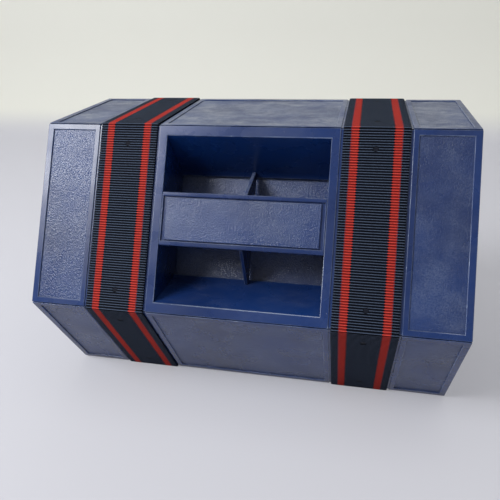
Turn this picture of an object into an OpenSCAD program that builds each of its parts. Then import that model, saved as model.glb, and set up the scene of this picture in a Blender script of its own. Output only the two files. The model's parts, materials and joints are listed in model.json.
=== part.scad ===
// Roll-up storage case: eleven hinged trays on two webbing straps, rolled into a six-sided
// prism with a carrying grip in one facet. Millimetres, +Z up, standing on its bottom facet.
// The facets run along X. Tray 01 is the innermost end of the roll, the lid tray the outermost.

/* [Case] */
// Length of every tray, from end face to end face
case_length = 350; // [320:1:420]
// Width of the two wide facets, from hinge line to hinge line
facet_wide = 154; // [148:1:166]
// Width of the four narrow facets, from hinge line to hinge line
facet_narrow = 115.5; // [113:0.5:121]
// Gap between the webbing of one layer and the rims of the trays around it
layer_gap = 0.8; // [0.4:0.1:1.2]
// Gap between the edge of a tray and its hinge line
hinge_gap = 0.5; // [0.4:0.1:0.8]

/* [Trays] */
// Depth of the deep trays, from panel to rim
deep_depth = 45; // [42:1:47]
// Gap in the middle of the core, between the rims of the two deep core trays
core_gap = 16.5; // [12:0.5:24]
// Depth of the three shallow trays in the core
shallow_depth = 28; // [24:1:30]
// Thickness of the side and end walls
wall = 2.2; // [1.8:0.1:2.8]
// Thickness of the outer panel of a tray
panel_thickness = 3; // [2.8:0.1:4]
// Width of the smooth border around the grained fields, beside hinge lines and end faces
border = 5.4; // [4:0.2:8]
// Width of the smooth border beside the webbing
strap_border = 4.4; // [3:0.2:6]
// Depth of the grained fields below the border
field_depth = 1; // [0.5:0.1:1.4]

/* [Webbing] */
// Length of the end panels, from an end face to the webbing channel
end_width = 48.3; // [44:0.1:56]
// Width of the webbing
strap_width = 50; // [40:1:52]
// Thickness of the webbing
strap_thickness = 1.8; // [1.4:0.1:2.2]
// Width of the channel that the webbing lies in
channel_width = 53.4; // [53:0.2:55]
// Depth of that channel
channel_depth = 0.8; // [0.4:0.1:1.2]
// Bare channel left past each end of the webbing
strap_end_margin = 2; // [1:0.5:4]
// Gap between the cut ends of the webbing solids and a hinge line
strap_hinge_gap = 0.25; // [0.2:0.05:0.4]

/* [Rivets] */
// Radius of a rivet
rivet_r = 1.8; // [1.4:0.1:2.4]
// Radial gap around a rivet
rivet_clearance = 0.1; // [0.05:0.05:0.2]
// Distance from the end of a facet to its rivets
rivet_inset = 16.5; // [14:0.5:20]
// Radius of the rivet's head inside the tray
rivet_head_r = 3.4; // [2.8:0.1:4]
// Thickness of that head
rivet_head = 1.2; // [0.8:0.1:1.6]
// Depth of the rivet's outer end below the face of the webbing
rivet_sink = 0.2; // [0.1:0.1:0.6]

/* [Dividers] */
// Thickness of a divider
divider_thickness = 1.6; // [1.2:0.1:2]
// Gap between a divider and the walls and guides that hold it
divider_clearance = 0.3; // [0.2:0.05:0.5]
// Distance from a divider's top edge to the rim of its tray
divider_drop = 3; // [2:0.5:6]
// Thickness of a guide rib
guide_thickness = 1.4; // [1:0.1:2]
// Height of a guide rib off the side wall
guide_height = 2; // [1.5:0.1:3]

/* [Grip] */
// Height of the border above and below the hand opening
opening_border = 8.7; // [7:0.1:12]
// Width of the border between the hand opening and the webbing
opening_side = 6.8; // [6:0.1:9]
// Taper of the hand opening from its front down to its throat
opening_taper = 19.6; // [17:0.1:21]
// Depth of the throat of the hand opening below the panel
throat_depth = 40; // [36:0.5:41]
// Chamfer that widens the liner behind the throat
throat_chamfer = 4; // [3:0.5:5]
// Height of the grip bar across the hand opening
bar_height = 43.7; // [36:0.1:50]
// Depth of the grip bar from front to back
bar_depth = 9; // [7:0.5:14]
// Wall thickness of the grip bar, which is open at the back
bar_wall = 2.4; // [2:0.1:3]
// Gap between the end of the grip bar and the side of the opening
bar_end_gap = 0.2; // [0.1:0.1:0.4]
// Height of the rims of the grip bar above and below its cover plate
plate_rim = 3.7; // [2.5:0.1:6]
// Thickness of the cover plate
plate_thickness = 1.5; // [1:0.1:2]
// Groove between the cover plate and the long rims of the grip bar
plate_groove = 0.9; // [0.5:0.1:1.5]
// Groove between the cover plate and the end rims of the grip bar
plate_end_groove = 2.8; // [0.5:0.1:4]
// Rim of the grip bar past each end groove
plate_end_rim = 1; // [0.6:0.1:2]
// Thickness of the web behind the grip bar
web_thickness = 3; // [2:0.1:4]

/* [Hidden] */
$fn = 48;
tan60 = tan(60);
sin60 = sin(60);
tan30 = tan(30);
strap_proud = strap_thickness - channel_depth;
pitch = deep_depth + strap_proud + layer_gap;
middle_width = case_length - 2 * (end_width + channel_width);
strap_x = (middle_width + channel_width) / 2;
wall_run = wall / sin60;
over = 1; // cutting tools run past the faces they open

// The two deep core trays face each other across the middle of the roll.
core_depth = facet_narrow * sin60 - pitch - core_gap / 2;

// Corners of the closed outline in the YZ plane, in the order in which the roll winds outwards:
// back, bottom back, bottom front, front, top front, top back.
front_z = facet_narrow * sin60;
top_z = front_z + facet_wide * sin60;
bottom_y = facet_narrow / 2;
corners = [
    [bottom_y + facet_narrow + facet_wide / 2, facet_wide * sin60],
    [bottom_y + facet_narrow, 0],
    [bottom_y, 0],
    [0, front_z],
    [facet_wide / 2, top_z],
    [facet_wide / 2 + facet_narrow, top_z]
];
last_corner = len(corners) - 1;
tray_count = 11;
front_tray_k = 9;
handle_tray_k = 10;
lid_tray_k = 11;
first_outer_k = 6;
roll_trays = [for (k = [1 : front_tray_k - 1]) k];
shallow_trays = [2, 3, 6];
core_trays = [1, 4];
two_cell_trays = [1, 2, 3, 6];

// The frame stands on the webbing, centred on its own width.
strap_reach = strap_proud * sin60 - strap_hinge_gap / 2;
strap_corner = strap_proud / cos(30);
shift_y = -(corners[0].x + strap_corner - strap_reach) / 2;
shift_z = strap_proud;

// Hinge line k joins tray k to tray k + 1. Line 0 and the last line are the free ends.
// Lines 0 to 4 are the outer corners moved one pitch inwards, and line 5 lies in the back facet.
function inward(k) = 180 - 60 * min(k, last_corner - 1);
function inner_line(k) = corners[k] + pitch / sin60 * [cos(inward(k)), sin(inward(k))];
function raw_line(k) = k < first_outer_k ? inner_line(k) : corners[k % len(corners)];
function hinge_line(k) = raw_line(k) + [shift_y, shift_z];
function heading(k) = 60 * (tray_count - k);
function facet(k) = norm(hinge_line(k) - hinge_line(k - 1));
function listed(k, list) = len(search(k, list)) > 0;
function depth(k) =
    listed(k, shallow_trays) ? shallow_depth :
    listed(k, core_trays) ? core_depth : deep_depth;
function flush(k) = k == lid_tray_k;

// Places a shape drawn in a tray's own frame: X along the case, Y from its inner hinge line
// towards the next, Z outwards with the panel face at 0.
module on_tray(k) {
    at = hinge_line(k - 1);
    translate([0, at.x, at.y])
        rotate([heading(k), 0, 0])
            children();
}

// A YZ outline with a thickness along X, centred on x.
module slab(points, thickness, x = 0) {
    translate([x, 0, 0])
        rotate([90, 0, 90])
            linear_extrude(height = thickness, center = true)
                polygon(points);
}

// Side lines of tray k at a depth below its panel: every side leans in along the plane that
// halves the corner, except the lid's free end, which lies flush in the back facet.
function low_side(d) = hinge_gap + d / tan60;
function high_side(k, d) = facet(k) - hinge_gap + (flush(k) ? 1 : -1) * d / tan60;
function outline(k, top, bottom, inset) = [
    [low_side(top) + inset, -top],
    [high_side(k, top) - inset, -top],
    [high_side(k, bottom) - inset, -bottom],
    [low_side(bottom) + inset, -bottom]
];

// ---- trays ----

// Divider places along the case: two cells in the core trays, three in the others.
cell = (case_length - 2 * wall) / 3;
function divider_places(k) =
    k == handle_tray_k ? [] :
    listed(k, two_cell_trays) ? [0] : [-cell / 2, cell / 2];

module grained_field(k, x_from, x_to) {
    translate([x_from, border, -field_depth])
        cube([x_to - x_from, facet(k) - 2 * border, field_depth + over]);
}

module side_fields(k) {
    inner = middle_width / 2 + channel_width + strap_border;
    outer = case_length / 2 - border;
    grained_field(k, inner, outer);
    grained_field(k, -outer, -inner);
}

module middle_field(k) {
    half = middle_width / 2 - strap_border;
    grained_field(k, -half, half);
}

// The channel for the webbing runs over the whole facet, and on the lid down its free end.
module channel(k, side) {
    x = side * strap_x;
    translate([x - channel_width / 2, -over, -channel_depth])
        cube([channel_width, facet(k) + 2 * over, channel_depth + over]);
    if (flush(k))
        translate([x, facet(k), 0])
            rotate([-60, 0, 0])
                translate([-channel_width / 2, -over, -channel_depth - hinge_gap * sin60])
                    cube([channel_width, 2 * deep_depth, channel_depth + over]);
}

module rivet_holes(k, side) {
    for (y = [rivet_inset, facet(k) - rivet_inset])
        translate([side * strap_x, y, -panel_thickness - over])
            cylinder(r = rivet_r + rivet_clearance, h = panel_thickness + strap_proud + 2 * over);
}

// A guide is a pair of ribs on both side walls, one each side of a divider.
module guides(k, x) {
    bottom = depth(k) - divider_drop;
    offset_x = (divider_thickness + guide_thickness) / 2 + divider_clearance;
    rib = guide_height / sin60;
    low = [
        [low_side(panel_thickness) + wall_run - over / 2, -panel_thickness + over / 2],
        [low_side(panel_thickness) + wall_run + rib, -panel_thickness + over / 2],
        [low_side(bottom) + wall_run + rib, -bottom],
        [low_side(bottom) + wall_run - over / 2, -bottom]
    ];
    high = [
        [high_side(k, panel_thickness) - wall_run + over / 2, -panel_thickness + over / 2],
        [high_side(k, panel_thickness) - wall_run - rib, -panel_thickness + over / 2],
        [high_side(k, bottom) - wall_run - rib, -bottom],
        [high_side(k, bottom) - wall_run + over / 2, -bottom]
    ];
    for (s = [-1, 1]) {
        slab(low, guide_thickness, x + s * offset_x);
        slab(high, guide_thickness, x + s * offset_x);
    }
}

module tray_walls(k) {
    difference() {
        slab(outline(k, 0, depth(k), 0), case_length);
        slab(outline(k, panel_thickness, depth(k) + over, wall_run), case_length - 2 * wall);
    }
}

module strap_seats(k) {
    for (side = [-1, 1]) {
        channel(k, side);
        rivet_holes(k, side);
    }
}

module tray(k) {
    color([0.13, 0.19, 0.38])
        on_tray(k)
            difference() {
                union() {
                    tray_walls(k);
                    for (x = divider_places(k)) guides(k, x);
                }
                strap_seats(k);
                side_fields(k);
                middle_field(k);
            }
}

module dividers(k) {
    color([0.16, 0.22, 0.42])
        on_tray(k)
            for (x = divider_places(k))
                slab(
                    outline(k, panel_thickness, depth(k) - divider_drop, wall_run + divider_clearance),
                    divider_thickness, x
                );
}

// ---- handle tray and grip ----

opening_half = middle_width / 2 - opening_side;
liner_back = throat_depth + throat_chamfer;
throat = opening_border + opening_taper;

function hand_opening(k) = [
    [opening_border, over],
    [facet(k) - opening_border, over],
    [facet(k) - opening_border, 0],
    [facet(k) - throat, -throat_depth],
    [facet(k) - throat - throat_chamfer, -liner_back],
    [facet(k) - throat - throat_chamfer, -deep_depth - over],
    [throat + throat_chamfer, -deep_depth - over],
    [throat + throat_chamfer, -liner_back],
    [throat, -throat_depth],
    [opening_border, 0]
];

module handle_tray() {
    k = handle_tray_k;
    liner_half = opening_half + wall;
    color([0.13, 0.19, 0.38])
        on_tray(k)
            difference() {
                union() {
                    tray_walls(k);
                    slab(outline(k, 0, depth(k), 0), 2 * liner_half);
                }
                slab(hand_opening(k), 2 * opening_half);
                strap_seats(k);
                side_fields(k);
            }
}

bar_length = 2 * (opening_half - bar_end_gap);
seat_length = bar_length - 2 * plate_end_rim;
seat_height = bar_height - 2 * plate_rim;
plate_length = seat_length - 2 * plate_end_groove;
plate_height = seat_height - 2 * plate_groove;

// The grip bar is a shallow trough, open at the back, with a sunk seat for its cover plate.
module grip_bar() {
    k = handle_tray_k;
    length = bar_length;
    face = plate_thickness + bar_wall;
    color([0.14, 0.2, 0.4])
        on_tray(k)
            translate([0, facet(k) / 2, 0])
                difference() {
                    translate([-length / 2, -bar_height / 2, -bar_depth])
                        cube([length, bar_height, bar_depth]);
                    translate([-seat_length / 2, -seat_height / 2, -plate_thickness])
                        cube([seat_length, seat_height, plate_thickness + over]);
                    translate([-length / 2 + bar_wall, -bar_height / 2 + bar_wall, -bar_depth - over])
                        cube([length - 2 * bar_wall, bar_height - 2 * bar_wall, bar_depth - face + over]);
                }
}

module grip_plate() {
    color([0.15, 0.19, 0.33])
        on_tray(handle_tray_k)
            translate([-plate_length / 2, (facet(handle_tray_k) - plate_height) / 2, -plate_thickness])
                cube([plate_length, plate_height, plate_thickness]);
}

// The web stands behind the bar and spreads to both slopes of the liner.
module grip_web() {
    k = handle_tray_k;
    middle = facet(k) / 2;
    bar_half = bar_height / 2;
    color([0.14, 0.2, 0.4])
        on_tray(k)
            slab([
                [middle - bar_half, -bar_depth],
                [middle + bar_half, -bar_depth],
                [facet(k) - throat, -throat_depth],
                [facet(k) - throat - throat_chamfer, -liner_back],
                [throat + throat_chamfer, -liner_back],
                [throat, -throat_depth]
            ], web_thickness);
}

// ---- webbing ----

// Point beside hinge line k, a height off the panel faces, on the plane that halves the corner.
function mitre(k, height) =
    hinge_line(k) + height / cos(30) * [cos(heading(k) + 60), sin(heading(k) + 60)];
// Point on facet k at a distance from its inner hinge line and a height off its panel face.
function on_facet(k, along, height) =
    hinge_line(k - 1)
    + along * [cos(heading(k)), sin(heading(k))]
    + height * [-sin(heading(k)), cos(heading(k))];

// Cut ends at a moving hinge line: square above the panel face, halving the corner below it.
function cut_low(k) = [
    on_facet(k, strap_hinge_gap + channel_depth * tan30, -channel_depth),
    on_facet(k, strap_hinge_gap, 0),
    on_facet(k, strap_hinge_gap, strap_proud)
];
function cut_high(k) = [
    on_facet(k, facet(k) - strap_hinge_gap, strap_proud),
    on_facet(k, facet(k) - strap_hinge_gap, 0),
    on_facet(k, facet(k) - strap_hinge_gap - channel_depth * tan30, -channel_depth)
];

roll_last = front_tray_k - 1;
roll_strap_points = concat(
    [on_facet(1, strap_end_margin, strap_proud)],
    [for (k = [1 : roll_last - 1]) mitre(k, strap_proud)],
    cut_high(roll_last),
    [for (k = [roll_last - 1 : -1 : 1]) mitre(k, -channel_depth)],
    [on_facet(1, strap_end_margin, -channel_depth)]
);

// The lid's webbing folds over its free end and lies in the channel there.
lid_end_length = deep_depth / sin60 - strap_end_margin;
lid_end_sink = hinge_gap * sin60;
function down_end(along, height) =
    hinge_line(lid_tray_k)
    + along * [cos(-60), sin(-60)]
    + (height - lid_end_sink) * [cos(30), sin(30)];
function end_mitre(height) =
    hinge_line(lid_tray_k)
    + [height * tan30 - lid_end_sink / cos(30), height];
lid_strap_points = concat(
    cut_low(lid_tray_k),
    [
        end_mitre(strap_proud),
        down_end(lid_end_length, strap_proud),
        down_end(lid_end_length, -channel_depth),
        end_mitre(-channel_depth)
    ]
);

module strap_piece(points, side, trays) {
    color([0.09, 0.1, 0.13])
        difference() {
            slab(points, strap_width, side * strap_x);
            for (k = trays)
                on_tray(k) rivet_holes(k, side);
        }
}

module strap_roll(side) {
    strap_piece(roll_strap_points, side, roll_trays);
}

module strap_front(side) {
    strap_piece(concat(cut_low(front_tray_k), cut_high(front_tray_k)), side, [front_tray_k]);
}

module strap_handle(side) {
    strap_piece(concat(cut_low(handle_tray_k), cut_high(handle_tray_k)), side, [handle_tray_k]);
}

module strap_lid(side) {
    strap_piece(lid_strap_points, side, [lid_tray_k]);
}

// ---- rivets ----

module rivet() {
    translate([0, 0, -panel_thickness - rivet_head])
        cylinder(r = rivet_head_r, h = rivet_head);
    translate([0, 0, -panel_thickness])
        cylinder(r = rivet_r, h = panel_thickness + strap_proud - rivet_sink);
}

module rivets(trays) {
    color([0.3, 0.32, 0.36])
        for (k = trays)
            on_tray(k)
                for (side = [-1, 1], y = [rivet_inset, facet(k) - rivet_inset])
                    translate([side * strap_x, y, 0])
                        rivet();
}

for (k = roll_trays) {
    tray(k);
    dividers(k);
}
tray(front_tray_k);  // front_tray
dividers(front_tray_k);  // front_dividers
handle_tray();
tray(lid_tray_k);  // lid_tray
dividers(lid_tray_k);  // lid_dividers
strap_roll(-1);  // strap_left_roll
strap_front(-1);  // strap_left_front
strap_handle(-1);  // strap_left_handle
strap_lid(-1);  // strap_left_lid
strap_roll(1);  // strap_right_roll
strap_front(1);  // strap_right_front
strap_handle(1);  // strap_right_handle
strap_lid(1);  // strap_right_lid
rivets(roll_trays);  // rivets_roll
rivets([front_tray_k]);  // rivets_front
rivets([handle_tray_k]);  // rivets_handle
rivets([lid_tray_k]);  // rivets_lid
grip_bar();
grip_plate();
grip_web();
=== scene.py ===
import json
from math import cos, pi, radians, sin, sqrt, tan

import bmesh
import bpy
from mathutils import Matrix, Vector


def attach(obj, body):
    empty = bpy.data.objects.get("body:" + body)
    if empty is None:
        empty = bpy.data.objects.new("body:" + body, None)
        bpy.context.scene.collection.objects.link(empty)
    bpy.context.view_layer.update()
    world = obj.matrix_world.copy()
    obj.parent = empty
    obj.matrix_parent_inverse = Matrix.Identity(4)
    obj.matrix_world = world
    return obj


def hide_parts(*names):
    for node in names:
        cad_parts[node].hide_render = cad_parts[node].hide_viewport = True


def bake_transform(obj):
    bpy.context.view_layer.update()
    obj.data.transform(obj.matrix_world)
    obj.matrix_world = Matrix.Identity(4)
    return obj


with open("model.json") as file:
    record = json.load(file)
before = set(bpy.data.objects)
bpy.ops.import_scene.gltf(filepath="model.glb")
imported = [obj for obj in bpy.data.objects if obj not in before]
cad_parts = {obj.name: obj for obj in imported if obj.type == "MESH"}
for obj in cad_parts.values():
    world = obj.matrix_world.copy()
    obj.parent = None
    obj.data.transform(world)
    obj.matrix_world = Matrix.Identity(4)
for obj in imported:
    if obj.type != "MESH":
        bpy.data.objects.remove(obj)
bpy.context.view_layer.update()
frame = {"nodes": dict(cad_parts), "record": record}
mm = 0.001
hair = 0.001 * mm                 # points closer than this are the same

# The rolled case as it is seen from its end. All places follow from these values.
roll = {
    "caseLength": 350 * mm,
    "facetWide": 154 * mm,
    "facetNarrow": 115.5 * mm,
    "deepDepth": 45 * mm,
    "layerGap": 0.8 * mm,
    "middleWidth": 146.6 * mm,     # between the two webbing channels
    "channelWidth": 53.4 * mm,
    "channelDepth": 0.8 * mm,
    "strapProud": 1.0 * mm,        # webbing above the panel faces
    "strapHingeGap": 0.25 * mm,
    "fieldDepth": 1.0 * mm,
    "rivetInset": 16.5 * mm,
    "trays": 11,
    "frontTray": 9,
    "handleTray": 10,
    "lidTray": 11,
}
strapX = (roll["middleWidth"] + roll["channelWidth"]) / 2
pitch = roll["deepDepth"] + roll["strapProud"] + roll["layerGap"]


def outerCorners():
    wide, narrow, rise = roll["facetWide"], roll["facetNarrow"], sin(pi / 3)
    return [
        Vector((narrow * 1.5 + wide / 2, wide * rise)),
        Vector((narrow * 1.5, 0)),
        Vector((narrow / 2, 0)),
        Vector((0, narrow * rise)),
        Vector((wide / 2, (narrow + wide) * rise)),
        Vector((wide / 2 + narrow, (narrow + wide) * rise)),
    ]


# Hinge line k joins tray k to tray k + 1, as a point in the YZ plane.
def hingeLine(k):
    corners = outerCorners()
    point = corners[k % 6].copy()
    if k < 6:
        turn = radians(180 - 60 * min(k, 4))
        point += Vector((cos(turn), sin(turn))) * pitch / sin(pi / 3)
    reach = roll["strapProud"] * sin(pi / 3) - roll["strapHingeGap"] / 2
    back = corners[0].x + roll["strapProud"] / cos(pi / 6)
    return point + Vector((-(back - reach) / 2, roll["strapProud"]))


def heading(k):
    return radians(60 * (roll["trays"] - k))


def facet(k):
    return (hingeLine(k) - hingeLine(k - 1)).length


# From a tray's own frame (X along the case, Y across its facet, Z outwards) to the case.
def trayFrame(k):
    at = hingeLine(k - 1)
    return Matrix.Translation((0, at.x, at.y)) @ Matrix.Rotation(heading(k), 4, "X")


def inCase(point):
    return Vector((0, point.x, point.y))


view = {
    "at": (0.0908, -0.4482, 0.3271),
    "yaw": 13.06,                  # degrees, as the next two
    "pitch": -26.27,
    "roll": -2.17,
    "lens": 37.16,
    "sensor": 36,
}


def makeCamera():
    data = bpy.data.cameras.new("view")
    data.lens = view["lens"]
    data.sensor_width = view["sensor"]
    camera = bpy.data.objects.new("view", data)
    bpy.context.collection.objects.link(camera)
    camera.matrix_world = (
        Matrix.Translation(view["at"])
        @ Matrix.Rotation(radians(view["yaw"]), 4, "Z")
        @ Matrix.Rotation(radians(90 + view["pitch"]), 4, "X")
        @ Matrix.Rotation(radians(view["roll"]), 4, "Z")
    )
    bpy.context.scene.camera = camera


makeCamera()
print("camera placed")


class Nodes:
    # Short names for building one material's node tree.
    def __init__(self, name):
        self.material = bpy.data.materials.new(name)
        self.material.use_nodes = True
        self.tree = self.material.node_tree
        self.tree.nodes.clear()
        self.output = self.add("ShaderNodeOutputMaterial")
        self.shader = self.add("ShaderNodeBsdfPrincipled")
        self.join(self.shader.outputs[0], self.output.inputs[0])
        self.coords = self.add("ShaderNodeTexCoord")

    def add(self, kind, **settings):
        node = self.tree.nodes.new(kind)
        for key, value in settings.items():
            setattr(node, key, value)
        return node

    def join(self, source, target):
        self.tree.links.new(source, target)

    def put(self, socket, value):
        if isinstance(value, bpy.types.NodeSocket):
            self.join(value, socket)
        else:
            socket.default_value = value

    def noise(self, scale, detail=3.0, roughness=0.5, vector=None, stretch=None, distortion=0.0):
        node = self.add("ShaderNodeTexNoise")
        node.inputs["Scale"].default_value = scale
        node.inputs["Detail"].default_value = detail
        node.inputs["Roughness"].default_value = roughness
        node.inputs["Distortion"].default_value = distortion
        self.join(self.place(vector, stretch), node.inputs["Vector"])
        return node.outputs["Fac"]

    def cells(self, scale, feature="F1", vector=None, stretch=None):
        node = self.add("ShaderNodeTexVoronoi", feature=feature)
        node.inputs["Scale"].default_value = scale
        self.join(self.place(vector, stretch), node.inputs["Vector"])
        return node.outputs["Distance"]

    def place(self, vector, stretch):
        source = vector or self.coords.outputs["Object"]
        if not stretch:
            return source
        node = self.add("ShaderNodeMapping")
        node.inputs["Scale"].default_value = stretch
        self.join(source, node.inputs["Vector"])
        return node.outputs[0]

    def math(self, operation, a, b=0.0, clamp=False):
        node = self.add("ShaderNodeMath", operation=operation, use_clamp=clamp)
        self.put(node.inputs[0], a)
        self.put(node.inputs[1], b)
        return node.outputs[0]

    def ramp(self, value, low, high, toLow=0.0, toHigh=1.0):
        node = self.add("ShaderNodeMapRange", interpolation_type="SMOOTHSTEP")
        self.put(node.inputs["Value"], value)
        node.inputs["From Min"].default_value = low
        node.inputs["From Max"].default_value = high
        node.inputs["To Min"].default_value = toLow
        node.inputs["To Max"].default_value = toHigh
        return node.outputs["Result"]

    def mix(self, share, a, b):
        node = self.add("ShaderNodeMix", data_type="RGBA")
        self.put(node.inputs["Factor"], share)
        self.put(node.inputs["A"], a)
        self.put(node.inputs["B"], b)
        return node.outputs["Result"]

    def attribute(self, name):
        node = self.add("ShaderNodeAttribute", attribute_name=name)
        return node.outputs["Fac"]

    def bump(self, height, strength, distance):
        node = self.add("ShaderNodeBump")
        node.inputs["Strength"].default_value = strength
        node.inputs["Distance"].default_value = distance
        self.put(node.inputs["Height"], height)
        return node.outputs["Normal"]

    def finish(self, colour, roughness, gloss, normal=None):
        self.put(self.shader.inputs["Base Color"], colour)
        self.put(self.shader.inputs["Roughness"], roughness)
        self.shader.inputs["Specular IOR Level"].default_value = gloss
        if normal:
            self.join(normal, self.shader.inputs["Normal"])
        return self.material


def linear(red, green, blue):
    def channel(value):
        value /= 255
        return value / 12.92 if value <= 0.04045 else ((value + 0.055) / 1.055) ** 2.4
    return (channel(red), channel(green), channel(blue), 1)


# Scales on the plastic count a pattern's features per metre, more or less.
plastic = {
    "navy": linear(11, 45, 101),
    "navyDeep": linear(8, 34, 82),
    # pale worn tone, also bright enough to serve as a painted highlight on rounded edges
    "wornAndHighlight": linear(146, 159, 180),
    "speck": linear(176, 180, 186),
    "speckScale": 300,
    "speckShare": 0.6,
    "gloss": 0.5,
}

dust = {
    "colour": linear(147, 153, 162),
    "cloudScale": 26,
    "cloudStretch": (1.0, 1.6, 1.6),
    "wipedScale": 80,
    "wipedStretch": (0.8, 1.4, 1.4),
    "onSmooth": 0.55,
    "onGrain": 0.8,
    "onWebbing": 0.08,
}


# Dust lies on what faces up, in soft clouds with wiped streaks through them.
def dustOn(n, amount):
    up = n.attribute("dust")
    cloud = n.noise(dust["cloudScale"], 4, 0.6, stretch=dust["cloudStretch"], distortion=0.4)
    wiped = n.noise(dust["wipedScale"], 6, 0.75, stretch=dust["wipedStretch"], distortion=0.7)
    share = n.math("MULTIPLY", n.ramp(cloud, 0.25, 0.75, 0.15, 0.85), n.ramp(wiped, 0.33, 0.70, 0.18, 1.08))
    return n.math("MULTIPLY", n.math("MULTIPLY", share, up), amount, clamp=True)


# A few pale nicks and specks.
def specks(n):
    spots = n.noise(plastic["speckScale"], 3, 0.6, distortion=1.5)
    return n.math("MULTIPLY", n.ramp(spots, 0.755, 0.785), plastic["speckShare"])


smoothFace = {
    "toneScale": 9,
    "nickScale": 190,
    "wearScale": 55,
    "wearAndHighlightShare": 0.48,             # of a rounded edge's pale tone (worn plastic and a painted edge highlight), before its nicks are added
    "flowScale": 140,
    "flowDepth": 0.4 * mm,         # slow waves
    "shineScale": 30,
    "roughness": (0.2, 0.36),
    "dustRoughness": 0.12,
}


def smoothPlastic():
    n = Nodes("smoothNavyPlastic")
    tone = n.ramp(n.noise(smoothFace["toneScale"], 4), 0.3, 0.7)
    colour = n.mix(tone, plastic["navyDeep"], plastic["navy"])
    colour = n.mix(dustOn(n, dust["onSmooth"]), colour, dust["colour"])
    colour = n.mix(specks(n), colour, plastic["speck"])
    # Rounded edges turn pale in patches: worn plastic, and also a painted highlight along the edges.
    nicks = n.ramp(n.noise(smoothFace["nickScale"], 4, 0.6), 0.60, 0.72)
    patches = n.ramp(n.noise(smoothFace["wearScale"], 3), 0.36, 0.66, 0.2, 0.66)
    edgeWearAndHighlight = n.math("MULTIPLY", n.attribute("edgeWearAndHighlight"), patches)
    pale = n.math("MULTIPLY", edgeWearAndHighlight, n.math("ADD", smoothFace["wearAndHighlightShare"], nicks), clamp=True)
    colour = n.mix(pale, colour, plastic["wornAndHighlight"])
    normal = n.bump(n.noise(smoothFace["flowScale"], 5, 0.6), 0.1, smoothFace["flowDepth"])
    shine = n.ramp(n.noise(smoothFace["shineScale"], 5), 0.3, 0.75, *smoothFace["roughness"])
    dull = n.math("MULTIPLY", n.attribute("dust"), smoothFace["dustRoughness"])
    roughness = n.math("ADD", shine, dull)
    return n.finish(colour, roughness, plastic["gloss"], normal)


# Pebbled leather grain: worm-like ridges about a millimetre apart with fine pits between them.
grain = {
    "scale": 900,
    "warpScale": 760,
    "fineScale": 1700,
    "depth": 0.25 * mm,
    "toneScale": 13,
    "rubbedScale": 34,
    "rubbedShare": (0.02, 0.14),
    "shineScale": 24,
    "roughness": (0.23, 0.33),
    "dustRoughness": 0.14,
}


def grainedPlastic():
    n = Nodes("grainedNavyPlastic")
    warp = n.noise(grain["warpScale"], 3, 0.6, distortion=1.6)
    cells = n.cells(grain["scale"], "SMOOTH_F1")
    fine = n.noise(grain["fineScale"], 2, 0.5)
    height = n.math("ADD", n.math("MULTIPLY", cells, 0.8), warp)
    height = n.math("ADD", height, n.math("MULTIPLY", fine, 0.2))
    tone = n.ramp(n.noise(grain["toneScale"], 4), 0.3, 0.7)
    colour = n.mix(tone, plastic["navyDeep"], plastic["navy"])
    rubbed = n.ramp(n.noise(grain["rubbedScale"], 4, 0.6), 0.35, 0.65, *grain["rubbedShare"])
    colour = n.mix(n.math("MULTIPLY", n.ramp(height, 0.6, 1.15), rubbed), colour, plastic["wornAndHighlight"])
    colour = n.mix(dustOn(n, dust["onGrain"]), colour, dust["colour"])
    colour = n.mix(specks(n), colour, plastic["speck"])
    normal = n.bump(height, 1.0, grain["depth"])
    shine = n.ramp(n.noise(grain["shineScale"], 4), 0.3, 0.7, *grain["roughness"])
    dull = n.math("MULTIPLY", n.attribute("dust"), grain["dustRoughness"])
    roughness = n.math("ADD", shine, dull)
    return n.finish(colour, roughness, plastic["gloss"], normal)


perMetre = 10                     # units of the webbing's UV map

strap = {
    "width": 50 * mm,
    "thickness": 1.8 * mm,
    "innerRadius": 0.8 * mm,       # of the webbing's back, round a corner
    "ribSamples": 6,
    "endMargin": 2 * mm,
    "scallop": 0.8 * mm,
    "rivetDimple": 2.1 * mm,
    "selvedge": 1.2 * mm,          # ribs flatten this close to an edge
    "edgeRibs": 0.45,              # of a rib's height, left at the very edge
    "rivetCrest": 0.3,             # of a rib's tone, left under a rivet
    "backLift": 0.06 * mm,         # of the webbing's back, off the channel floor
    "blendReach": 3 * mm,
    # Millimetres from the middle of the webbing to one edge, where its grid has a line of points.
    "columns": [1.1, 2.2, 3.2, 6.5, 10, 13.5, 17, 19.7, 21.4, 23.4, 24.6, 25],
    "coarseColumns": [1.6, 3.2, 13.5, 19.7, 25],
    "coarseSamples": 4,
    "coarseUpTo": 5,               # the tray from whose middle on the webbing is seen
}

cloth = {
    # Groove colours are near black as painted shade between the ribs; the crest colours are painted
    # highlights on the rib tops.
    "navy": linear(4, 7, 18),
    "navyCrestHighlight": linear(100, 116, 142),
    "red": linear(120, 26, 25),
    "redCrestHighlight": linear(242, 86, 70),
    "edgeMargin": 6.2 * mm,
    "stripe": 5.8 * mm,
    "jag": 0.9 * mm,              # how far a stripe shifts between a rib's crest and its groove
    "rib": 2.05 * mm,
    "ribHeight": 0.65 * mm,
    "yarnDepth": 0.18 * mm,
    "yarnStretch": (90, 900, 1),  # threads per unit of the UV map, across and along
    "twistStretch": (160, 420, 1),
    "fuzz": 0.8 * mm,             # how far a stripe's edge wanders
    "fuzzScale": 260,             # per unit of the UV map
    "roughness": (0.62, 0.8),
    "gloss": 0.08,
}


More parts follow.
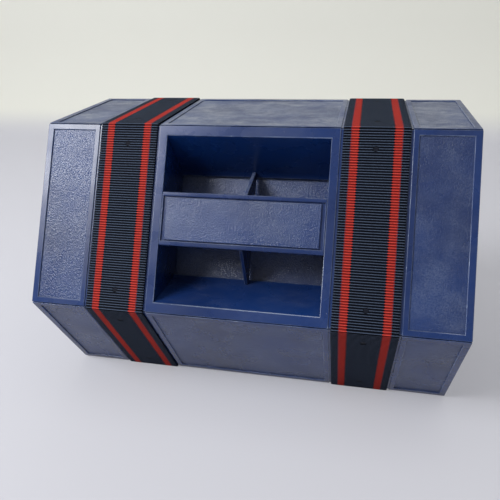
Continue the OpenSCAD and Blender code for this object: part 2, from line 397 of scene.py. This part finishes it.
# The UV map holds the place across the webbing from its middle, and the place along it.
def webbingFinish():
    n = Nodes("ribbedWebbing")
    uv = n.add("ShaderNodeUVMap", uv_map="webbing").outputs[0]
    split = n.add("ShaderNodeSeparateXYZ")
    n.join(uv, split.inputs[0])
    across = n.math("ABSOLUTE", split.outputs["X"])
    outer = (strap["width"] / 2 - cloth["edgeMargin"]) * perMetre
    inner = outer - cloth["stripe"] * perMetre
    tip = n.attribute("rib")
    crest = n.ramp(tip, 0.93, 1.0)
    wander = n.math("SUBTRACT", n.noise(cloth["fuzzScale"], 2, vector=uv), 0.5)
    fuzz = n.math("MULTIPLY", wander, cloth["fuzz"] * perMetre)
    jag = n.math("MULTIPLY", n.math("SUBTRACT", crest, 0.5), cloth["jag"] * perMetre)
    place = n.math("ADD", n.math("ADD", across, fuzz), jag)
    inStripe = n.math("MULTIPLY", n.math("GREATER_THAN", place, inner), n.math("LESS_THAN", place, outer))
    yarn = n.noise(1.0, 3, 0.6, vector=uv, stretch=cloth["yarnStretch"])
    twist = n.cells(1.0, "F1", vector=uv, stretch=cloth["twistStretch"])
    # Rib crests are lightened as a painted highlight and grooves stay near black as painted shade, in the
    # navy and in the red stripes.
    crestHighlight = n.math("MULTIPLY", crest, n.ramp(yarn, 0.3, 0.7, 0.2, 1.0))
    dark = n.mix(crestHighlight, cloth["navy"], cloth["navyCrestHighlight"])
    red = n.mix(n.math("MULTIPLY", crest, n.ramp(yarn, 0.25, 0.7, 0.6, 1.0)), cloth["red"], cloth["redCrestHighlight"])
    colour = n.mix(inStripe, dark, red)
    # Dust is put on the crests only, which keeps the grooves dark as painted shade.
    colour = n.mix(n.math("MULTIPLY", dustOn(n, dust["onWebbing"]), crest), colour, dust["colour"])
    height = n.math("ADD", n.math("MULTIPLY", yarn, 0.6), n.math("MULTIPLY", twist, 0.5))
    normal = n.bump(height, 0.5, cloth["yarnDepth"])
    return n.finish(colour, n.ramp(yarn, 0.2, 0.8, *cloth["roughness"]), cloth["gloss"], normal)


rivet = {
    "dark": linear(8, 10, 18),
    "pale": linear(25, 29, 42),
    "roughness": 0.7,
    "gloss": 0.12,
    "toneScale": 300,
    "pitScale": 500,
    "pitDepth": 0.2 * mm,
}


def rivetFinish():
    n = Nodes("darkRivet")
    colour = n.mix(n.noise(rivet["toneScale"], 3), rivet["dark"], rivet["pale"])
    normal = n.bump(n.noise(rivet["pitScale"], 3), 0.3, rivet["pitDepth"])
    return n.finish(colour, rivet["roughness"], rivet["gloss"], normal)


finishes = {
    "smooth": smoothPlastic(),
    "grain": grainedPlastic(),
    "webbing": webbingFinish(),
    "rivet": rivetFinish(),
}
print("materials made")

# Edges are rounded on copies of the CAD nodes.
edgeSoftening = {
    "width": 0.55 * mm,
    "segments": 3,
    "sharpAngle": 25,
    "shortest": 2.5 * mm,
    "long": 50 * mm,
    "longSegments": 5,
    "flatWithin": 0.5,             # degrees between faces that count as one
    "thinWidth": 0.3 * mm,         # rivets and dividers
    "plateWidth": 0.5 * mm,
    "barWidth": 0.35 * mm,
    "barLongWidth": 1.1 * mm,
    "smoothUpTo": 40,
    "weight": 80,
}


def newPiece(name, bm, body, materials):
    mesh = bpy.data.meshes.new(name)
    bm.to_mesh(mesh)
    bm.free()
    piece = bpy.data.objects.new(name, mesh)
    bpy.context.collection.objects.link(piece)
    for material in materials:
        mesh.materials.append(material)
    if body:
        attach(piece, body)
    return piece


def markFaces(mesh, name, values):
    layer = mesh.attributes.new(name, "FLOAT", "FACE")
    layer.data.foreach_set("value", values)


# Round the convex edges over, either all of them or only the long ones that run along the case.
def softenEdges(bm, width, longOnly=False):
    sharp = [
        e for e in bm.edges
        if len(e.link_faces) == 2 and e.is_convex
        and e.calc_face_angle() > radians(edgeSoftening["sharpAngle"])
        and e.calc_length() > (edgeSoftening["long"] if longOnly else edgeSoftening["shortest"])
    ]
    made = bmesh.ops.bevel(
        bm, geom=sharp, offset=width, affect="EDGES", profile=0.5,
        segments=edgeSoftening["longSegments" if longOnly else "segments"], material=-1, clamp_overlap=False,
    )
    bm.normal_update()
    return set(made["faces"])


settled = {
    "top": 1.12,
    "everywhere": 0.04,
    "power": 4,
    "insideShare": 0.1,
    "insideFrom": 1.5 * mm,        # deeper than this in a tray, and clear of its ends
    "endWall": 1 * mm,
}


# Dust by how far a face looks up, and little of it inside a tray.
def dustOnFace(face, local):
    share = max(0.0, face.normal.z) ** settled["power"] * settled["top"] + settled["everywhere"]
    if local:
        centre = local @ face.calc_center_median()
        clearOfEnds = abs(centre.x) < roll["caseLength"] / 2 - settled["endWall"]
        if centre.z < -settled["insideFrom"] and clearOfEnds:
            share *= settled["insideShare"]
    return share


sunkPanel = {
    "outwards": 0.99,
    "depthWithin": 0.1 * mm,
    "smallest": 100 * mm * mm,
}


# A tray's sunk panels are the faces that look straight out, one field's depth down.
def isPanel(face, local):
    outwards = (local.to_3x3() @ face.normal).z
    depth = -(local @ face.calc_center_median()).z
    sunk = abs(depth - roll["fieldDepth"]) < sunkPanel["depthWithin"]
    return sunk and outwards > sunkPanel["outwards"] and face.calc_area() > sunkPanel["smallest"]


def softenedCopy(node, body, tray=None, width=None, longWidth=None, materials=("smooth", "grain")):
    bm = bmesh.new()
    bm.from_mesh(frame["nodes"][node].data)
    bmesh.ops.remove_doubles(bm, verts=bm.verts, dist=hair)
    flat = radians(edgeSoftening["flatWithin"])
    bmesh.ops.dissolve_limit(bm, angle_limit=flat, verts=bm.verts, edges=bm.edges)
    bm.normal_update()
    if longWidth:
        softenEdges(bm, longWidth, longOnly=True)
    bevelled = softenEdges(bm, width or edgeSoftening["width"])
    bm.faces.ensure_lookup_table()
    local = trayFrame(tray).inverted() if tray else None
    for face in bm.faces:
        face.smooth = True
        if local and isPanel(face, local):
            face.material_index = 1
    # Rounded faces are marked for the pale edge tone: wear and a painted highlight.
    edgeWearAndHighlight = [1.0 if face in bevelled else 0.0 for face in bm.faces]
    dusty = [dustOnFace(face, local) for face in bm.faces]
    piece = newPiece(node + "_dressed", bm, body, [finishes[m] for m in materials])
    markFaces(piece.data, "edgeWearAndHighlight", edgeWearAndHighlight)
    markFaces(piece.data, "dust", dusty)
    even = piece.modifiers.new("evenNormals", "WEIGHTED_NORMAL")
    even.weight = edgeSoftening["weight"]
    even.keep_sharp = True
    piece.data.set_sharp_from_angle(angle=radians(edgeSoftening["smoothUpTo"]))
    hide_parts(node)
    return piece


bodies = frame["record"]["behaviour"]["bodies"]
namedTrays = {"front_tray": roll["frontTray"], "handle_tray": roll["handleTray"], "lid_tray": roll["lidTray"]}


def trayNumber(node):
    if node in namedTrays:
        return namedTrays[node]
    return int(node[-2:]) if node.startswith("tray_") else None


def dressPlastic():
    thin, plate = edgeSoftening["thinWidth"], edgeSoftening["plateWidth"]
    bar, barLong = edgeSoftening["barWidth"], edgeSoftening["barLongWidth"]
    for body, nodes in bodies.items():
        for node in nodes:
            if "strap" in node:
                continue
            if "rivets" in node:
                softenedCopy(node, body, width=thin, materials=("rivet",))
            elif node == "grip_bar":
                softenedCopy(node, body, width=bar, longWidth=barLong, materials=("smooth",))
            elif node == "grip_plate":
                softenedCopy(node, body, width=plate, materials=("grain",))
            elif "dividers" in node:
                softenedCopy(node, body, width=thin, materials=("smooth",))
            else:
                softenedCopy(node, body, trayNumber(node))


dressPlastic()
print("plastic pieces dressed")


# The webbing's path in the YZ plane: straight over each facet and round a small arc at each corner.
def webbingPath():
    spans = []
    top = roll["trays"]
    low = roll["channelDepth"] + strap["innerRadius"]
    trim = low * tan(pi / 6)
    radius = strap["innerRadius"] + strap["thickness"] / 2
    for k in range(1, top + 1):
        start = hingeLine(k - 1)
        along = Vector((cos(heading(k)), sin(heading(k))))
        out = Vector((-along.y, along.x))
        first = strap["endMargin"] if k == 1 else trim
        spans.append({"kind": "straight", "k": k, "from": start + along * first, "along": along,
                      "out": out, "length": facet(k) - first - trim})
        nextOut = Vector((-sin(heading(k + 1)), cos(heading(k + 1))))
        centre = hingeLine(k) - (out + nextOut).normalized() * low / cos(pi / 6)
        spans.append({"kind": "arc", "k": k, "centre": centre, "out": out, "radius": radius,
                      "length": radius * pi / 3})
    down = heading(top + 1)
    along = Vector((cos(down), sin(down)))
    spans.append({"kind": "straight", "k": top + 1, "from": hingeLine(top) + along * trim, "along": along,
                  "out": Vector((-along.y, along.x)),
                  "length": roll["deepDepth"] / sin(pi / 3) - strap["endMargin"] - trim})
    place = 0
    for span in spans:
        span["start"] = place
        place += span["length"]
    return spans


path = webbingPath()


# Point on the webbing's path at a distance along it and a height above the panel faces.
def onPath(distance, height):
    span = next((s for s in path if distance < s["start"] + s["length"]), path[-1])
    d = distance - span["start"]
    if span["kind"] == "straight":
        return span["from"] + span["along"] * d + span["out"] * height
    turn = -d / span["radius"]
    out = Matrix.Rotation(turn, 2) @ span["out"]
    return span["centre"] + out * (height + roll["channelDepth"] + strap["innerRadius"])


def middleOf(k):
    span = next(s for s in path if s["k"] == k and s["kind"] == "straight")
    start = hingeLine(k - 1)
    return span["start"] + facet(k) / 2 - (span["from"] - start).length


def rivetPlaces():
    places = []
    for span in path:
        if span["kind"] == "straight" and span["k"] <= roll["trays"]:
            k = span["k"]
            offset = (span["from"] - hingeLine(k - 1)).length
            for along in (roll["rivetInset"], facet(k) - roll["rivetInset"]):
                places.append(span["start"] + along - offset)
    return places


rivetAt = rivetPlaces()


# A rib's height and its crest, each from 0 to 1. Ribs fade at the edges and lie flat under a rivet.
def ribShape(distance, x):
    phase = (distance / cloth["rib"]) % 1
    crest = sqrt(max(0.0, 1 - (2 * phase - 1) ** 2))
    edge = min(1.0, (strap["width"] / 2 - abs(x)) / strap["selvedge"])
    nearest = min(abs(distance - place) for place in rivetAt)
    if sqrt(nearest ** 2 + x ** 2) < strap["rivetDimple"]:
        return 0.0, crest * strap["rivetCrest"]
    left = strap["edgeRibs"]
    return crest * (left + (1 - left) * edge), crest


# One stretch of webbing, from start to end along the path, woven as a grid and given its thickness.
def makeWebbing(name, side, start, end, columns="columns", samples="ribSamples"):
    half = [c * mm for c in strap[columns]]
    columns = [-c for c in reversed(half)] + [0] + half
    samples = strap[samples]
    firstRib, lastRib = round(start / cloth["rib"]), round(end / cloth["rib"])
    rows = (lastRib - firstRib) * samples
    bm = bmesh.new()
    uv = bm.loops.layers.uv.new("webbing")
    rib = bm.verts.layers.float.new("rib")
    bmesh.ops.create_grid(bm, x_segments=len(columns) - 1, y_segments=rows, size=0.5)
    grid = {}
    for v in bm.verts:
        i = round((v.co.x + 0.5) * (len(columns) - 1))
        j = round((v.co.y + 0.5) * rows)
        distance = (firstRib + j / samples) * cloth["rib"]
        shape, crest = ribShape(distance + hair, columns[i])
        x = columns[i]
        if abs(x) > strap["width"] / 2 - hair:
            x -= (1 - crest) * strap["scallop"] * (1 if x > 0 else -1)
        height = roll["strapProud"] - cloth["ribHeight"] * (1 - shape)
        point = onPath(distance, height)
        v.co = (side * strapX + x, point.x, point.y)
        v[rib] = crest
        grid[v] = (x, distance)
    for face in bm.faces:
        for loop in face.loops:
            x, distance = grid[loop.vert]
            loop[uv].uv = (x * perMetre, distance * perMetre)
    bm.normal_update()
    top = list(bm.faces)
    lower = bmesh.ops.extrude_face_region(bm, geom=top)
    newVerts = [g for g in lower["geom"] if isinstance(g, bmesh.types.BMVert)]
    above = {tuple(round(c, 7) for c in v.co): place for v, place in grid.items()}
    for v in newVerts:
        x, distance = above[tuple(round(c, 7) for c in v.co)]
        point = onPath(distance, strap["backLift"] - roll["channelDepth"])
        v.co = (side * strapX + x, point.x, point.y)
        v[rib] = 0
    bmesh.ops.recalc_face_normals(bm, faces=bm.faces)
    dusty = [max(0.0, face.normal.z) for face in bm.faces]
    for face in bm.faces:
        face.smooth = True
    piece = newPiece(name, bm, None, [finishes["webbing"]])
    markFaces(piece.data, "dust", dusty)
    return piece


def cornerBlend(piece, k):
    at = inCase(hingeLine(k))
    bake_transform(piece)


def makeStraps():
    end = path[-1]["start"] + path[-1]["length"]
    outerStart = middleOf(strap["coarseUpTo"])
    chain = ("roll", "front", "handle", "lid")
    lastRolled = roll["frontTray"] - 1
    cuts = [middleOf(lastRolled + i) for i in range(len(chain))]
    for side, label in ((-1, "left"), (1, "right")):
        inner = makeWebbing(f"webbing_{label}_inner", side, 0, outerStart, "coarseColumns", "coarseSamples")
        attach(inner, "roll")
        back = makeWebbing(f"webbing_{label}_back", side, outerStart, cuts[0])
        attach(back, "roll")
        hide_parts(f"strap_{label}_roll")
        for i, (parent, child) in enumerate(zip(chain, chain[1:])):
            piece = makeWebbing(f"webbing_{label}_{child}", side, cuts[i], cuts[i + 1])
            cornerBlend(piece, lastRolled + i)
            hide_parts(f"strap_{label}_{child}")
        tail = makeWebbing(f"webbing_{label}_end", side, cuts[3], end)
        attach(tail, "lid")


makeStraps()
print("webbing woven")

studio = {
    "floor": linear(204, 204, 211),
    "wall": linear(232, 232, 224),
    "evenShare": 0.4,              # of the backdrop, seen as if no shadow fell on it
    "roughness": 0.95,
    "gloss": 0.1,
    "wallFrom": 0,                 # heights between which the floor's colour turns into the wall's
    "wallTo": 0.06,
    "air": (0.98, 0.985, 0.98, 1),
    "brightFrom": 0.6,             # how far up the room turns bright, 1 being straight up
    "roomLow": 0.1,
    "roomHigh": 1.0,
    "background": 0.42,
    "reach": 9,
    "coveStart": 0.75,
    "coveRadius": 0.25,
    "coveSteps": 14,
    "wallHeight": 3,
}
lamps = {
    "window": {
        "at": (-1.02, -0.82, 1.22),
        "towards": (0, 0, 0.12),
        "size": 0.68,
        "power": 29,
        "colour": (0.98, 0.99, 1.0),
    },
    "ceiling": {
        "at": (0.2, -0.2, 2.1),
        "towards": (0, 0, 0.1),
        "size": 1.6,
        "power": 4,
        "colour": (1.0, 0.99, 0.97),
    },
}


# 1 where something is seen directly, in a reflection or through glass, and 0 where it only gives light.
def seenShare(tree):
    ray = tree.nodes.new("ShaderNodeLightPath").outputs
    share = ray["Is Camera Ray"]
    for name in ("Is Glossy Ray", "Is Transmission Ray"):
        either = tree.nodes.new("ShaderNodeMath")
        either.operation = "MAXIMUM"
        tree.links.new(share, either.inputs[0])
        tree.links.new(ray[name], either.inputs[1])
        share = either.outputs[0]
    return share


def makeStage():
    bm = bmesh.new()
    bmesh.ops.create_grid(bm, x_segments=1, y_segments=1, size=studio["reach"])
    back = [e for e in bm.edges if all(v.co.y > 0 for v in e.verts)]
    for v in bm.verts:
        if v.co.y > 0:
            v.co.y = studio["coveStart"]
    start, radius = studio["coveStart"], studio["coveRadius"]
    spun = bmesh.ops.spin(
        bm, geom=back, cent=(0, start, radius), axis=(1, 0, 0), angle=radians(90),
        steps=studio["coveSteps"], use_duplicate=False,
    )
    last = [g for g in spun["geom_last"] if isinstance(g, bmesh.types.BMEdge)]
    wall = bmesh.ops.extrude_edge_only(bm, edges=last)
    top = [g for g in wall["geom"] if isinstance(g, bmesh.types.BMVert)]
    bmesh.ops.translate(bm, vec=(0, 0, studio["wallHeight"]), verts=top)
    for face in bm.faces:
        face.smooth = True
    mesh = bpy.data.meshes.new("backdrop")
    bm.to_mesh(mesh)
    bm.free()
    backdrop = bpy.data.objects.new("backdrop", mesh)
    bpy.context.collection.objects.link(backdrop)
    n = Nodes("paleBackdrop")
    split = n.add("ShaderNodeSeparateXYZ")
    n.join(n.coords.outputs["Object"], split.inputs[0])
    rise = n.ramp(split.outputs["Z"], studio["wallFrom"], studio["wallTo"])
    colour = n.mix(rise, studio["floor"], studio["wall"])
    mesh.materials.append(n.finish(colour, studio["roughness"], studio["gloss"]))
    even = n.add("ShaderNodeEmission")
    n.join(colour, even.inputs["Color"])
    mixed = n.add("ShaderNodeMixShader")
    n.join(n.math("MULTIPLY", seenShare(n.tree), studio["evenShare"]), mixed.inputs[0])
    n.join(n.shader.outputs[0], mixed.inputs[1])
    n.join(even.outputs[0], mixed.inputs[2])
    n.join(mixed.outputs[0], n.output.inputs[0])


def makeLight(name, at, towards, size, power, colour):
    data = bpy.data.lights.new(name, "AREA")
    data.size = size
    data.energy = power
    data.color = colour
    light = bpy.data.objects.new(name, data)
    bpy.context.collection.objects.link(light)
    aim = Vector(towards) - Vector(at)
    light.matrix_world = Matrix.Translation(at) @ aim.to_track_quat("-Z", "Y").to_matrix().to_4x4()


# The room is bright overhead and dim at eye level. Seen directly or in a reflection it is an even grey.
def makeWorld():
    world = bpy.data.worlds.new("studio")
    world.use_nodes = True
    tree = world.node_tree
    background = tree.nodes["Background"]
    background.inputs["Color"].default_value = studio["air"]
    coords = tree.nodes.new("ShaderNodeTexCoord")
    split = tree.nodes.new("ShaderNodeSeparateXYZ")
    rise = tree.nodes.new("ShaderNodeMapRange")
    for socket, value in (("From Min", "brightFrom"), ("To Min", "roomLow"), ("To Max", "roomHigh")):
        rise.inputs[socket].default_value = studio[value]
    seen = tree.nodes.new("ShaderNodeMix")
    seen.inputs["B"].default_value = studio["background"]
    tree.links.new(coords.outputs["Generated"], split.inputs[0])
    tree.links.new(split.outputs["Z"], rise.inputs["Value"])
    tree.links.new(rise.outputs["Result"], seen.inputs["A"])
    tree.links.new(seenShare(tree), seen.inputs["Factor"])
    tree.links.new(seen.outputs["Result"], background.inputs["Strength"])
    bpy.context.scene.world = world


makeStage()
for name, lamp in lamps.items():
    makeLight(name, **lamp)
makeWorld()
bpy.context.scene.view_settings.view_transform = "Standard"
print("stage lit")
